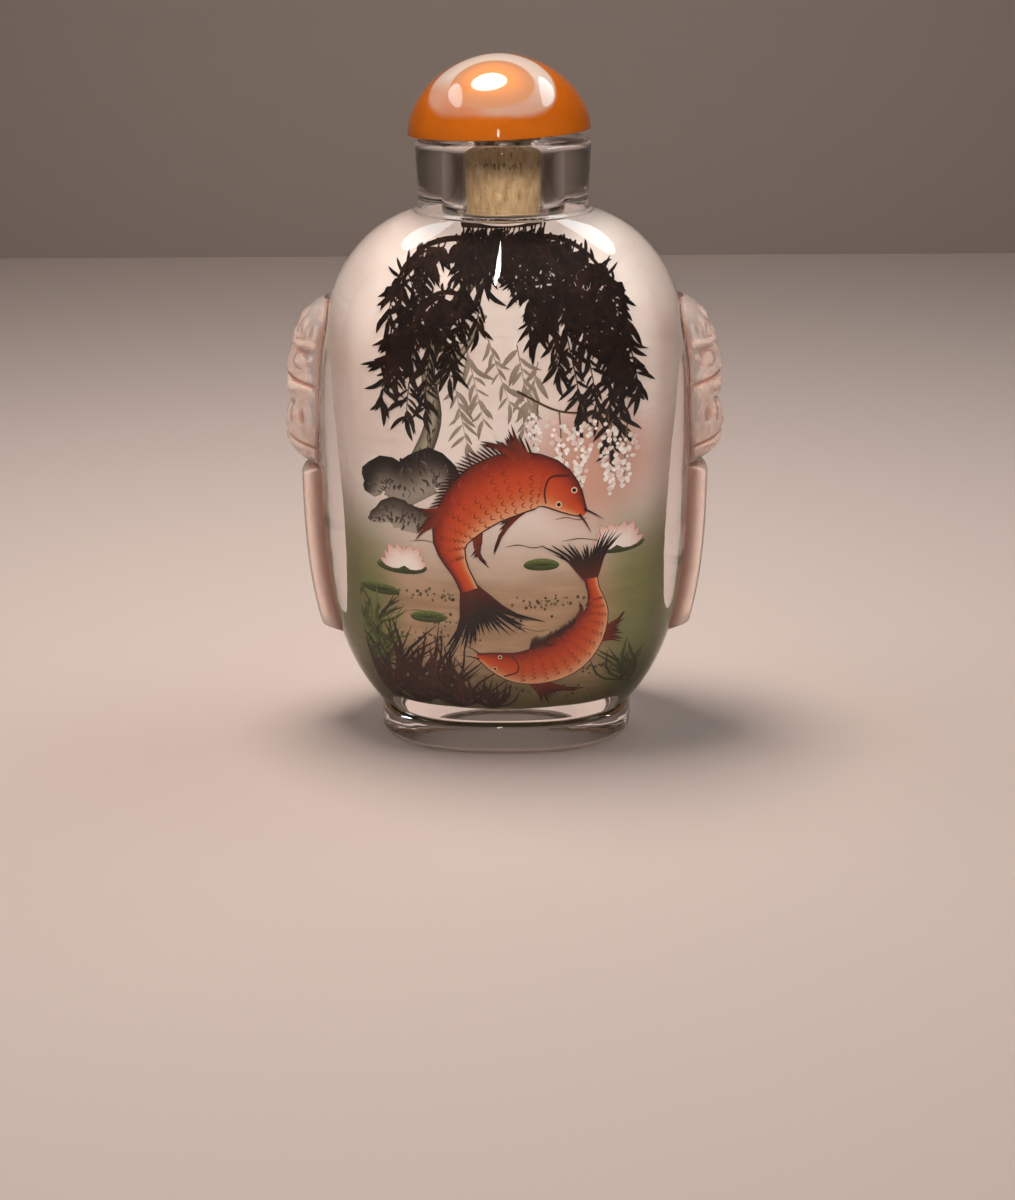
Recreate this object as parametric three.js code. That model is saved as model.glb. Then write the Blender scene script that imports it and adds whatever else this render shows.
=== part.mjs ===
// Flattened clear-glass snuff bottle with carved mask-and-strap sides, a cork and a domed stone top.
// Millimetres, +Z up. The origin is under the middle of the foot, the broad faces look along -Y and +Y,
// and the two carved sides look along -X and +X.
import * as THREE from 'three';

const GAP = 0.3; // clearance between separate pieces

const foot = { height: 3.9, halfWidth: 16.3, halfDepth: 12.8, edge: 0.7, roundness: 2.6 };
const body = {
  halfWidth: 23.35, halfDepth: 13.6, roundness: 2.6,
  waistLow: 36, waistHigh: 38, // the straight stretch between the lower and the upper curve
  dropWidth: 36.5, dropDepth: 51, // reach of the lower curves, in width and in depth
  riseWidth: 29.5, riseDepth: 35.8, // reach of the upper curves
};
const neck = { bottom: 66.6, top: 75.1, radius: 10.6, waistRadius: 10.4, lip: 1.0, fillet: 0.7 };
const bore = { radius: 4.95, edge: 0.4 };
const cavity = {
  halfWidth: 17.8, lowHalfWidth: 17.1, widenFrom: 20, widenTo: 48,
  halfDepth: 10.4, floor: 4.2, ceiling: 65.0, lowPower: 4.5, highPower: 3.2, roundness: 2.6,
};
const strap = { bottom: 12.9, top: 34.9, halfWidth: 3.1, depth: 2.3 };
const mask = {
  bottom: 35.2, top: 56.0, middle: 45.6, // the profile is fullest at `middle`
  halfWidth: 5.0, chinHalfWidth: 3.4, cheek: 42, temple: 52, // full width from cheek to temple
  depth: 3.9,
};
const dome = { radius: 11.05, rise: 9.0, tilt: 2.0, shift: -0.45, edge: 0.45 }; // sits a little askew
const cork = { tipRadius: 4.45, length: 9.8, chamfer: 0.35 };

// Columns of one quarter of a ring: across half a handle, then along half a broad face.
const HANDLE_STEPS = [0, 0.17, 0.34, 0.5, 0.66, 0.8, 0.92, 1, 1.12];
const FACE_STEPS = 6;

const clamp = (v, low = 0, high = 1) => Math.min(high, Math.max(low, v));
const ramp = (v, from, to) => {
  const u = clamp((v - from) / (to - from));
  return u * u * (3 - 2 * u);
};
const mix = (a, b, u) => a + (b - a) * u;

// Quarter of a superellipse: 1 at the middle, 0 at the end.
const arch = (u, power = 3) => (1 - clamp(Math.abs(u)) ** power) ** (1 / power);

// Half-width and half-depth of the plain body, without the carving, at height z.
function bodySize(z) {
  const low = Math.max(0, body.waistLow - z);
  const high = Math.max(0, z - body.waistHigh);
  return {
    width: body.halfWidth * Math.min(arch(low / body.dropWidth), arch(high / body.riseWidth)),
    depth: body.halfDepth * Math.min(arch(low / body.dropDepth), arch(high / body.riseDepth)),
  };
}

// Half-width of the mask: full over the cheeks, narrower at the chin, rounded at the crown.
function maskReach(z) {
  const cheeks = mix(mask.chinHalfWidth, mask.halfWidth, ramp(z, mask.bottom, mask.cheek));
  const crown = arch(Math.max(0, z - mask.temple) / (mask.top - mask.temple), 2.4);
  return cheeks * Math.max(0.5, crown);
}

// Height of the carving above the body's side, `across` from its middle line and at height z.
// Each mound is mirrored to both halves of the face; a hollow has a negative rise.
const FACE_MOUNDS = [
  { across: 1.5, z: 51.5, wide: 0.7, tall: 0.8, rise: 0.5 }, // curls of the mane
  { across: 2.8, z: 52.6, wide: 0.6, tall: 1.2, rise: 0.6 },
  { across: 4.0, z: 52.4, wide: 0.5, tall: 1.3, rise: 0.5 },
  { across: 1.0, z: 53.9, wide: 0.6, tall: 0.8, rise: 0.45 },
  { across: 3.3, z: 50.6, wide: 1.5, tall: 0.45, rise: 0.55 }, // brow
  { across: 3.2, z: 48.7, wide: 1.35, tall: 1.2, rise: -0.55 }, // eye socket
  { across: 3.1, z: 48.6, wide: 0.75, tall: 0.7, rise: 0.95 }, // eye
  { across: 0, z: 47.2, wide: 1.1, tall: 1.4, rise: 0.3 }, // root of the nose
  { across: 2.6, z: 45.3, wide: 1.3, tall: 0.75, rise: 0.6 }, // cheeks of the snout
  { across: 1.3, z: 44.8, wide: 0.4, tall: 0.4, rise: -0.5 }, // nostrils
  { across: 0, z: 43.2, wide: 3.6, tall: 0.7, rise: -0.45 }, // hollow over the lip
  { across: 1.3, z: 41.7, wide: 0.4, tall: 1.1, rise: 0.35 }, // teeth
  { across: 2.7, z: 41.9, wide: 0.4, tall: 1.2, rise: 0.45 },
  { across: 0, z: 40.2, wide: 3.4, tall: 0.6, rise: 0.4 }, // lower lip
  { across: 0, z: 38.0, wide: 3.4, tall: 1.8, rise: 0.7 }, // chin lobe
];

function maskHeight(across, z) {
  const up = z > mask.middle;
  const reach = up ? mask.top - mask.middle : mask.middle - mask.bottom;
  const along = (z - mask.middle) / reach;
  const beside = across / maskReach(z);
  if (Math.abs(along) >= 1 || beside >= 1) return 0;
  const crest = mask.depth * arch(along, up ? 2.4 : 3.2);
  const section = (1 - beside ** 1.8) ** 0.75;
  const fade = ramp(1 - beside, 0, 0.15) * ramp(1 - Math.abs(along), 0, 0.1);
  let relief = 0;
  for (const { across: a, z: h, wide, tall, rise } of FACE_MOUNDS) {
    relief += rise * Math.exp(-(((across - a) / wide) ** 2) - ((z - h) / tall) ** 2);
  }
  const crease = -0.45 * Math.exp(-(((z - 46.7 + 0.25 * across) / 0.3) ** 2));
  const jaw = -0.5 * Math.exp(-(((z - 39.3 + 0.5 * across) / 0.3) ** 2));
  return crest * section + fade * (relief + crease + jaw);
}

function strapHeight(across, z) {
  const ends = ramp(z, strap.bottom, strap.bottom + 1.3) * ramp(z, strap.top, strap.top - 0.7);
  const section = 1 - 0.12 * (across / strap.halfWidth) ** 2;
  return across < strap.halfWidth * 1.01 ? strap.depth * section * ends : 0;
}

const carvingHeight = (across, z) => Math.max(strapHeight(across, z), maskHeight(across, z));

// Half-width of the carving that the side columns follow at height z.
function columnReach(z) {
  if (z < mask.bottom) return mix(mask.halfWidth, strap.halfWidth, ramp(z, foot.height, strap.bottom));
  return mix(maskReach(z), mask.halfWidth, ramp(z, mask.top, 60));
}

// One ring: { z, width, depth, power, carved }, as a list of points around the axis.
function ringPoints({ z, width, depth, power = 2, carved = false }) {
  const reach = Math.min(columnReach(z), 0.42 * depth);
  const quarter = HANDLE_STEPS.map((step) => Math.asin(((step * reach) / depth) ** (power / 2)));
  const last = quarter.at(-1);
  for (let i = 1; i <= FACE_STEPS; i++) quarter.push(mix(last, Math.PI / 2, i / FACE_STEPS));
  const first = quarter.map((angle) => {
    const across = depth * Math.sin(angle) ** (2 / power);
    const out = width * Math.max(0, Math.cos(angle)) ** (2 / power);
    const raised = carved && angle < 1 ? carvingHeight(across, z) : 0;
    return [out + raised, across];
  });
  const mirrored = first.slice(1, -1).reverse();
  const half = [...first, ...mirrored.map(([x, y]) => [-x, y]), [-first[0][0], 0]];
  const back = half.slice(1, -1).reverse().map(([x, y]) => [x, -y]);
  return [...half, ...back].map(([x, y]) => new THREE.Vector3(x, y, z));
}

// Skin over a stack of rings, closed to a point on the axis at both ends.
function skin(rings) {
  const columns = rings[0].length;
  const first = new THREE.Vector3(0, 0, rings[0][0].z);
  const last = new THREE.Vector3(0, 0, rings.at(-1)[0].z);
  const points = [first, ...rings.flat(), last];
  const index = [];
  const at = (ring, column) => 1 + ring * columns + (column % columns);
  for (let c = 0; c < columns; c++) {
    index.push(0, at(0, c + 1), at(0, c));
    for (let r = 0; r + 1 < rings.length; r++) {
      index.push(at(r, c), at(r, c + 1), at(r + 1, c + 1), at(r, c), at(r + 1, c + 1), at(r + 1, c));
    }
    index.push(points.length - 1, at(rings.length - 1, c), at(rings.length - 1, c + 1));
  }
  const geometry = new THREE.BufferGeometry().setFromPoints(points);
  geometry.setIndex(index);
  geometry.computeVertexNormals();
  return geometry;
}

const spread = (from, to, count) => Array.from({ length: count + 1 }, (_, i) => mix(from, to, i / count));

function footRings() {
  const { height, halfWidth, halfDepth, edge, roundness } = foot;
  const ring = (z, inset) => ({
    z, width: halfWidth - inset, depth: halfDepth - inset, power: roundness,
  });
  return [ring(0, edge), ring(0.3 * edge, 0.3 * edge), ring(edge, 0), ring(height - edge, 0),
    ring(height - 0.2 * edge, 0.35 * edge)];
}

function bodyRings() {
  const heights = [
    ...spread(foot.height, strap.bottom, 6),
    ...[strap.bottom + 0.65, strap.bottom + 1.3],
    ...spread(18, strap.top - 1.2, 3),
    ...[strap.top - 0.4, strap.top, mask.bottom],
    ...spread(mask.bottom + 0.35, mask.top, 25),
    ...spread(57, 65, 5),
    ...[65.8, 66.3],
  ];
  return heights.map((z) => {
    const round = ramp(z, 58, neck.bottom);
    return { z, ...bodySize(z), power: mix(body.roundness, 2, round), carved: true };
  });
}

function neckRings() {
  const { bottom, top, radius, waistRadius, lip, fillet } = neck;
  const ring = (z, r) => ({ z, width: r, depth: r });
  return [
    ring(bottom, waistRadius + fillet * 0.45), ring(bottom + fillet, waistRadius + 0.05),
    ring(bottom + 3, waistRadius + 0.05), ring(top - lip, radius), ring(top - 0.3 * lip, radius - 0.3 * lip),
    ring(top, radius - lip),
  ];
}

function boreRings() {
  const { radius, edge } = bore;
  const ring = (z, r) => ({ z, width: r, depth: r });
  return [ring(neck.top, radius + edge), ring(neck.top - edge, radius), ring(cavity.ceiling, radius)];
}

function cavityRings() {
  const { halfDepth, floor, ceiling, lowPower, highPower, roundness } = cavity;
  const lowReach = body.waistLow - floor;
  const highReach = ceiling - body.waistHigh;
  const high = [0.99, 0.96, 0.9, 0.8, 0.62, 0.35].map((u) => {
    const size = arch(u, highPower);
    return { z: body.waistHigh + u * highReach, size, power: mix(roundness, 2, ramp(u, 0.8, 0.99)) };
  });
  const low = [0, 0.4, 0.65, 0.82, 0.92, 0.98].map((u) => (
    { z: body.waistLow - u * lowReach, size: arch(u, lowPower), power: roundness }
  ));
  const rings = [...high, ...low].map(({ z, size, power }) => {
    const halfWidth = mix(cavity.lowHalfWidth, cavity.halfWidth, ramp(z, cavity.widenFrom, cavity.widenTo));
    return { z, width: Math.max(bore.radius, halfWidth * size), depth: Math.max(bore.radius, halfDepth * size), power };
  });
  const last = rings.at(-1);
  return [...rings, { ...last, z: floor, width: 0.8 * last.width, depth: 0.8 * last.depth }];
}

function bottleGeometry() {
  const rings = [...footRings(), ...bodyRings(), ...neckRings(), ...boreRings(), ...cavityRings()];
  return skin(rings.map(ringPoints));
}

// Polished cabochon: flat underneath, with a softened edge and a slightly pointed crown.
function domeGeometry() {
  const profile = [new THREE.Vector2(0, 0), new THREE.Vector2(dome.radius - dome.edge, 0)];
  for (const u of [...spread(0.06, 0.9, 7), 0.975, 1]) {
    profile.push(new THREE.Vector2(dome.radius * (1 - u ** 1.85) ** 0.53, dome.rise * u));
  }
  return new THREE.LatheGeometry(profile, 32).rotateX(Math.PI / 2);
}

function corkGeometry() {
  const { tipRadius, length, chamfer } = cork;
  const topRadius = bore.radius - GAP;
  const profile = [[0, 0], [tipRadius - chamfer, 0], [tipRadius, chamfer],
    [topRadius, length - chamfer], [topRadius - chamfer, length], [0, length]];
  return new THREE.LatheGeometry(profile.map(([x, y]) => new THREE.Vector2(x, y)), 28).rotateX(Math.PI / 2);
}

const glass = new THREE.MeshStandardMaterial({
  color: '#e6e2dc', roughness: 0.04, metalness: 0, transparent: true, opacity: 0.35,
});
const agate = new THREE.MeshStandardMaterial({ color: '#c2611d', roughness: 0.12, metalness: 0 });
const corkwood = new THREE.MeshStandardMaterial({ color: '#a8916b', roughness: 0.9, metalness: 0 });

function piece(name, geometry, material) {
  const mesh = new THREE.Mesh(geometry, material);
  mesh.name = name;
  return mesh;
}

// The low edge of the tilted top clears the rim by GAP, and the cork stands GAP under the top.
const tilt = THREE.MathUtils.degToRad(dome.tilt);
const seat = neck.top + GAP + dome.radius * Math.sin(tilt);
const stopperTop = piece('stopper_top', domeGeometry(), agate);
stopperTop.position.set(dome.shift, 0, seat);
stopperTop.rotation.y = -tilt; // low towards -X

const stopperCork = piece('stopper_cork', corkGeometry(), corkwood);
stopperCork.position.z = seat - bore.radius * Math.sin(tilt) - GAP - cork.length;

const snuffBottle = new THREE.Group();
snuffBottle.add(piece('bottle', bottleGeometry(), glass), stopperTop, stopperCork);

export default snuffBottle;
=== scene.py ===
import math
import random
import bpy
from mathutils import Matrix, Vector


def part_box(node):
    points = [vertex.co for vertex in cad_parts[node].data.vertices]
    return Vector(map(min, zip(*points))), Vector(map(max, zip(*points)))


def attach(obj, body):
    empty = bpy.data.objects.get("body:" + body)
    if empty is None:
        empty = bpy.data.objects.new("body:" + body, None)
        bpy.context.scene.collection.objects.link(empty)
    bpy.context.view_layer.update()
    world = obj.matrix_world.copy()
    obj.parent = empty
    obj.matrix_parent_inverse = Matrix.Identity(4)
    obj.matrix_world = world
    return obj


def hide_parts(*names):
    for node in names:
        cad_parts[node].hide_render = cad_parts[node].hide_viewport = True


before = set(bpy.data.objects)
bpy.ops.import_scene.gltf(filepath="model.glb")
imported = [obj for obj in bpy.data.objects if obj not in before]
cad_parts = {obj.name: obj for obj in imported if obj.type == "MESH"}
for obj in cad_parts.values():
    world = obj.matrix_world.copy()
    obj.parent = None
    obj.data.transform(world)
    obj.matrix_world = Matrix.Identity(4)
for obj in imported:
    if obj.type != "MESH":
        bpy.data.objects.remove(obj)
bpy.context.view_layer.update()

from types import SimpleNamespace as Sizes

import bpy
import numpy as np
from mathutils import Euler, Quaternion, Vector

# A flattened snuff bottle of clear glass with a painted inner wall, carved masks on its sides, a cork
# and a domed agate top. Sizes are in millimetres and MM turns them into metres.
MM = 0.001
PIECES = []
BOTTLE_HIGH = Vector(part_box("bottle")[1]) / MM
CORK_LOW, CORK_HIGH = (Vector(corner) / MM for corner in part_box("stopper_cork"))
TOP_LOW = Vector(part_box("stopper_top")[0]) / MM

RIM = BOTTLE_HIGH.z
FOOT = Sizes(height=3.9, width=16.3, depth=12.8, edge=0.7, power=2.6)
BODY = Sizes(width=23.35, depth=BOTTLE_HIGH.y, power=2.6, waist_low=36, waist_high=38)
BODY_REACH = Sizes(drop_width=36.5, drop_depth=51, rise_width=29.5, rise_depth=35.8)
NECK = Sizes(bottom=66.6, radius=10.6, waist=10.4, lip=1.0, fillet=0.7, flare=2.5)
BORE = Sizes(radius=4.95, edge=0.4)
CAVITY = Sizes(width=17.8, low_width=17.1, widen=(20, 48), depth=10.4, floor=4.2, ceiling=65.0)
CAVITY_POWER = Sizes(low=4.5, high=3.2, plan=2.6)
STRAP = Sizes(bottom=12.9, top=34.9, reach=3.1, depth=2.3, low_fade=1.3, high_fade=0.7)
MASK = Sizes(bottom=35.2, top=56.0, middle=45.6, reach=5.0, chin=3.4, cheek=42, temple=52, depth=3.9)

DOME = Sizes(radius=11.05, rise=9.0, tilt=2.0, shift=-0.45, edge=0.45)
CORK = Sizes(tip=4.45, chamfer=0.35)
DENTS = 150  # dents in the side of the cork
GAP = 0.3  # clearance between pieces that touch
LINING = (0.06, 0.02)  # depth of the inner wall's two faces in the glass
# A groove is where the carving is lower than a step around it; gain makes that a value from 0 to 1.
GROOVE = Sizes(step=0.5, gain=8, beyond=20.6)
# The faces that the wheel left milky: out past this width and with this rise, a little round the straps too.
GROUND = Sizes(beyond=20, rise=0.08, strap_edge=0.35)

CAMERA = Sizes(place=(0.25, -240, 101), down=19.5, roll=-0.3, lens=58.65, film=36)
SKY_TINT, SKY_STRENGTH = (1.0, 0.88, 0.82, 1), 0.075
SHEET_SIZE = 8  # floor and backdrop, in metres

BLANK_STEPS = 240  # columns of a turned blank
CARVED_SHARE = 0.55  # share of a quarter's columns that follow the carving
CARVED_RUN = 1.12  # how far past the carving's edge those columns go
CARVED_LIMIT = 0.42  # the most of the depth that they take
COLUMNS_OPEN = 60  # height at which they are at full reach again over the mask


# ---------------------------------------------------------------- curves shared by every ring
def mix(a, b, u):
    return a + (b - a) * u


def ramp(v, start, end):
    u = np.clip((v - start) / (end - start), 0, 1)
    return u * u * (3 - 2 * u)


def arch(u, power=3.0):
    """Quarter of a superellipse: 1 at the middle and 0 at the end."""
    return (1 - np.clip(np.abs(u), 0, 1) ** power) ** (1 / power)


def spread(start, end, count):
    return list(np.linspace(start, end, count + 1))


def body_size(z):
    low = np.maximum(0, BODY.waist_low - z)
    high = np.maximum(0, z - BODY.waist_high)
    width = np.minimum(arch(low / BODY_REACH.drop_width), arch(high / BODY_REACH.rise_width))
    depth = np.minimum(arch(low / BODY_REACH.drop_depth), arch(high / BODY_REACH.rise_depth))
    return BODY.width * width, BODY.depth * depth


def cavity_size(z, grow=0.0):
    """Half-width, half-depth and power of the hollow at height z, with its wall moved out by grow."""
    low = (BODY.waist_low - z) / (BODY.waist_low - CAVITY.floor + grow)
    high = (z - BODY.waist_high) / (CAVITY.ceiling + grow - BODY.waist_high)
    size = np.where(low > 0, arch(np.maximum(low, 0), CAVITY_POWER.low), 1)
    size = np.where(high > 0, arch(np.maximum(high, 0), CAVITY_POWER.high), size)
    power = mix(CAVITY_POWER.plan, 2, ramp(high, 0.8, 0.99))
    bore = BORE.radius + grow
    middle = mix(CAVITY.low_width, CAVITY.width, ramp(z, *CAVITY.widen))
    width = np.maximum(bore, (middle + grow) * size)
    depth = np.maximum(bore, (CAVITY.depth + grow) * size)
    return width, depth, power


# ---------------------------------------------------------------- carving on the two narrow sides
# Mounds of the mask: distance from its middle line, height, half-width, half-height, rise.
MASK_MOUNDS = [
    (1.5, 51.5, 0.7, 0.8, 0.5), (2.8, 52.6, 0.6, 1.2, 0.6),  # curls of the mane
    (4.0, 52.4, 0.5, 1.3, 0.5), (1.0, 53.9, 0.6, 0.8, 0.45),
    (3.3, 50.6, 1.5, 0.45, 0.55),  # brow
    (3.2, 48.7, 1.35, 1.2, -0.55), (3.1, 48.6, 0.75, 0.7, 0.95),  # socket and eye
    (0.0, 47.2, 1.1, 1.4, 0.3),  # root of the nose
    (2.6, 45.3, 1.3, 0.75, 0.6), (1.3, 44.8, 0.4, 0.4, -0.5),  # snout and nostrils
    (0.0, 43.2, 3.6, 0.7, -0.45),  # hollow over the lip
    (1.3, 41.7, 0.4, 1.1, 0.35), (2.7, 41.9, 0.4, 1.2, 0.45),  # teeth
    (0.0, 40.2, 3.4, 0.6, 0.4), (0.0, 38.0, 3.4, 1.8, 0.7),  # lower lip and chin
]
# Fine cuts of the finished glass, with the same five values.
MASK_CUTS = [
    (1.5, 51.4, 0.3, 0.35, -0.35), (2.8, 52.4, 0.25, 0.7, -0.35), (4.0, 52.3, 0.2, 0.8, -0.3),
    (1.0, 53.9, 0.25, 0.4, -0.3), (3.1, 48.7, 0.22, 0.22, -0.3), (4.2, 49.0, 0.3, 0.5, 0.3),
    (2.0, 41.7, 0.2, 1.0, -0.3), (3.4, 41.6, 0.2, 0.9, -0.3), (2.6, 45.1, 0.45, 0.3, 0.25),
]
# Long creases over the snout and under the jaw: height at the middle line, slope, depth.
MASK_CREASES = [(46.7, 0.25, 0.45), (39.3, 0.5, 0.5)]
CREASE_WIDTH = 0.3


def mask_reach(z):
    cheeks = mix(MASK.chin, MASK.reach, ramp(z, MASK.bottom, MASK.cheek))
    crown = arch(np.maximum(0, z - MASK.temple) / (MASK.top - MASK.temple), 2.4)
    return cheeks * np.maximum(0.5, crown)


def mounds(across, z, shapes):
    total = 0
    for centre, height, wide, tall, rise in shapes:
        total = total + rise * np.exp(-((across - centre) / wide) ** 2 - ((z - height) / tall) ** 2)
    return total


def mask_height(across, z):
    up = z > MASK.middle
    reach = np.where(up, MASK.top - MASK.middle, MASK.middle - MASK.bottom)
    along = (z - MASK.middle) / reach
    beside = across / mask_reach(z)
    inside = (np.abs(along) < 1) & (beside < 1)
    crest = MASK.depth * np.where(up, arch(along, 2.4), arch(along, 3.2))
    section = (1 - np.clip(beside, 0, 1) ** 1.8) ** 0.75
    fade = ramp(1 - beside, 0, 0.15) * ramp(1 - np.abs(along), 0, 0.1)
    relief = mounds(across, z, MASK_MOUNDS) + mounds(across, z, MASK_CUTS)
    for height, slope, deep in MASK_CREASES:
        relief = relief - deep * np.exp(-((z - height + slope * across) / CREASE_WIDTH) ** 2)
    return np.where(inside, crest * section + fade * relief, 0)


def strap_height(across, z):
    low_end = arch(ramp(z, STRAP.bottom + STRAP.low_fade, STRAP.bottom), 1.5)
    high_end = ramp(z, STRAP.top, STRAP.top - STRAP.high_fade)
    return STRAP.depth * arch(across / STRAP.reach, 9) * (low_end * high_end)


def carving_height(across, z):
    return np.maximum(strap_height(across, z), mask_height(across, z))


def column_reach(z):
    """How far from the middle line the columns that follow the carving may go."""
    below = mix(MASK.reach, STRAP.reach, ramp(z, FOOT.height, STRAP.bottom))
    above = mix(mask_reach(z), MASK.reach, ramp(z, MASK.top, COLUMNS_OPEN))
    return np.where(z < MASK.bottom, below, above)


# ---------------------------------------------------------------- ring lists, from the foot up and in
# Runs of rings up the body: lowest height, highest height, count. They are closest over the mask.
BODY_RUNS = [
    (FOOT.height + 0.12, STRAP.bottom - 0.1, 26), (STRAP.bottom, STRAP.bottom + 1.4, 10),
    (15, 33.8, 30), (34.0, MASK.bottom, 8), (MASK.bottom + 0.12, MASK.top + 0.1, 130),
    (56.5, 65, 34), (65.2, NECK.bottom - 0.1, 8),
]
SHOULDER = 58  # from this height the body turns round on its way to the neck


def ring(z, width, depth=None, power=2.0, carved=0.0):
    """Height, half-width, half-depth, power of the outline, and 1 where the carving may rise."""
    return float(z), float(width), float(width if depth is None else depth), float(power), carved


def quarter(start, end, count):
    """Sine and cosine of even turns in degrees, for a rounded edge."""
    turns = (math.radians(turn) for turn in spread(start, end, count))
    return [(math.sin(turn), math.cos(turn)) for turn in turns]


def foot_rings():
    width, depth, edge, power = FOOT.width, FOOT.depth, FOOT.edge, FOOT.power
    rings = [ring(0, (width - edge) * s, (depth - edge) * s, power) for s in (0, 0.15, 0.45, 0.75, 0.95)]
    rounded = [(edge * (1 - cos), edge * (1 - sin)) for sin, cos in quarter(0, 90, 6)]
    rounded += [(FOOT.height - edge + edge * sin, edge * (1 - cos)) for sin, cos in quarter(0, 80, 6)]
    return rings + [ring(z, width - inset, depth - inset, power) for z, inset in rounded]


def body_rings():
    rings = []
    for z in sum((spread(*run) for run in BODY_RUNS), []):
        width, depth = body_size(z)
        rings.append(ring(z, width, depth, mix(BODY.power, 2, ramp(z, SHOULDER, NECK.bottom)), 1.0))
    return rings


def neck_rings():
    bottom, fillet, lip, lip_low = NECK.bottom, NECK.fillet, NECK.lip, RIM - NECK.lip
    rings = [ring(bottom + fillet * (1 - cos), NECK.waist + fillet * (1 - sin))
             for sin, cos in quarter(10, 90, 6)]
    for z in spread(bottom + 2 * fillet, lip_low, 8):
        rings.append(ring(z, mix(NECK.waist, NECK.radius, ramp(z, bottom + NECK.flare, lip_low))))
    rings += [ring(lip_low + lip * sin, NECK.radius - lip * (1 - cos)) for sin, cos in quarter(15, 90, 6)]
    return rings


def bore_rings():
    radius, edge = BORE.radius, BORE.edge
    rings = [ring(RIM, (NECK.radius - NECK.lip + radius + edge) / 2)]
    rings += [ring(RIM - edge * (1 - cos), radius + edge * (1 - sin)) for sin, cos in quarter(0, 90, 5)]
    return rings + [ring(z, radius) for z in spread(RIM - 1, CAVITY.ceiling + 0.6, 8)]


def cavity_rings(grow=0.0):
    """Wall of the hollow from the bore's foot down to the middle of its floor."""
    high = CAVITY.ceiling + grow - BODY.waist_high
    low = BODY.waist_low - CAVITY.floor + grow
    heights = [BODY.waist_high + high * sin for sin, _ in quarter(86, 0, 44)]
    heights += [BODY.waist_low - low * sin for sin, _ in quarter(0, 85, 44)]
    sizes = [(z, *cavity_size(z, grow)) for z in heights]
    width, depth, power = sizes[-1][1:]
    floor = CAVITY.floor - grow
    sizes += [(floor, width * s, depth * s, power) for s in (0.93, 0.8, 0.5, 0.2, 0)]
    return [ring(*size) for size in sizes]


# ---------------------------------------------------------------- modelling
def edit_all():
    bpy.ops.object.mode_set(mode="EDIT")
    bpy.ops.mesh.select_all(action="SELECT")


def turn_on_lathe(name, outline, steps=BLANK_STEPS):
    """Extrudes one vertex along an outline of (radius, height) in mm and spins it about Z.

    Each vertex keeps the number of its outline point in the attribute "ring".
    """
    bpy.ops.mesh.primitive_plane_add(size=MM, location=(outline[0][0] * MM, 0, outline[0][1] * MM))
    piece = bpy.context.object
    piece.name = piece.data.name = name
    bpy.ops.object.transform_apply(location=True, rotation=True, scale=True)
    edit_all()
    bpy.ops.mesh.merge(type="CENTER")
    for (r0, z0), (r1, z1) in zip(outline, outline[1:]):
        move = ((r1 - r0) * MM, 0, (z1 - z0) * MM)
        bpy.ops.mesh.extrude_region_move(TRANSFORM_OT_translate={"value": move})
    bpy.ops.object.mode_set(mode="OBJECT")
    places = vertex_places(piece.data)[:, ::2] / MM
    number = [np.argmin(np.linalg.norm(np.array(outline) - place, axis=1)) for place in places]
    numbers = piece.data.attributes.new("ring", "FLOAT", "POINT")
    numbers.data.foreach_set("value", np.array(number, dtype=np.float32))
    edit_all()
    bpy.ops.mesh.spin(steps=steps, angle=2 * math.pi, center=(0, 0, 0), axis=(0, 0, 1), use_auto_merge=True)
    bpy.ops.mesh.select_all(action="SELECT")
    bpy.ops.mesh.remove_doubles(threshold=0.001 * MM)
    bpy.ops.mesh.normals_make_consistent(inside=False)
    bpy.ops.object.mode_set(mode="OBJECT")
    bpy.ops.object.shade_smooth()
    return piece


def vertex_places(mesh):
    flat = np.empty(3 * len(mesh.vertices))
    mesh.vertices.foreach_get("co", flat)
    return flat.reshape(-1, 3)


def place_vertices(mesh, places):
    mesh.vertices.foreach_set("co", places.ravel())
    mesh.update()


def press_flat(piece, rings):
    """Presses a turned blank to its flattened rings and raises the carving on its two sides."""
    places = vertex_places(piece.data)
    number = np.empty(len(places))
    piece.data.attributes["ring"].data.foreach_get("value", number)
    z, width, depth, power, carved = np.array(rings)[number.round().astype(int)].T
    share = np.arctan2(np.abs(places[:, 1]), np.abs(places[:, 0])) / (math.pi / 2)
    reach = np.minimum(column_reach(z), CARVED_LIMIT * depth)
    safe_depth = np.maximum(depth, 1e-9)
    step = CARVED_RUN * np.minimum(share / CARVED_SHARE, 1)
    angle = np.arcsin(np.clip(step * reach / safe_depth, 0, 1) ** (power / 2))
    angle = mix(angle, math.pi / 2, np.clip((share - CARVED_SHARE) / (1 - CARVED_SHARE), 0, 1))
    across = depth * np.sin(angle) ** (2 / power)
    out = width * np.clip(np.cos(angle), 0, 1) ** (2 / power)
    raised = np.where((carved > 0) & (angle < 1), carving_height(across, z), 0)
    pole = width < 1e-6
    signs = np.where(np.abs(places[:, :2]) < 1e-9, 0, np.sign(places[:, :2]))
    places[:, 0] = np.where(pole, 0, signs[:, 0] * (out + raised))
    places[:, 1] = np.where(pole, 0, signs[:, 1] * across)
    places[:, 2] = z
    place_vertices(piece.data, places * MM)
    return piece


def flattened(name, rings):
    """A closed piece made of flattened rings, first turned and then pressed."""
    outline = [(width, z) for z, width, *_ in rings]
    return press_flat(turn_on_lathe(name, outline), rings)


def finish_piece(piece, material, slot, *nodes):
    piece.data.materials.clear()
    piece.data.materials.append(material)
    PIECES.append(piece)
    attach(piece, "root")
    if nodes:
        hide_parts(*nodes)


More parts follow.
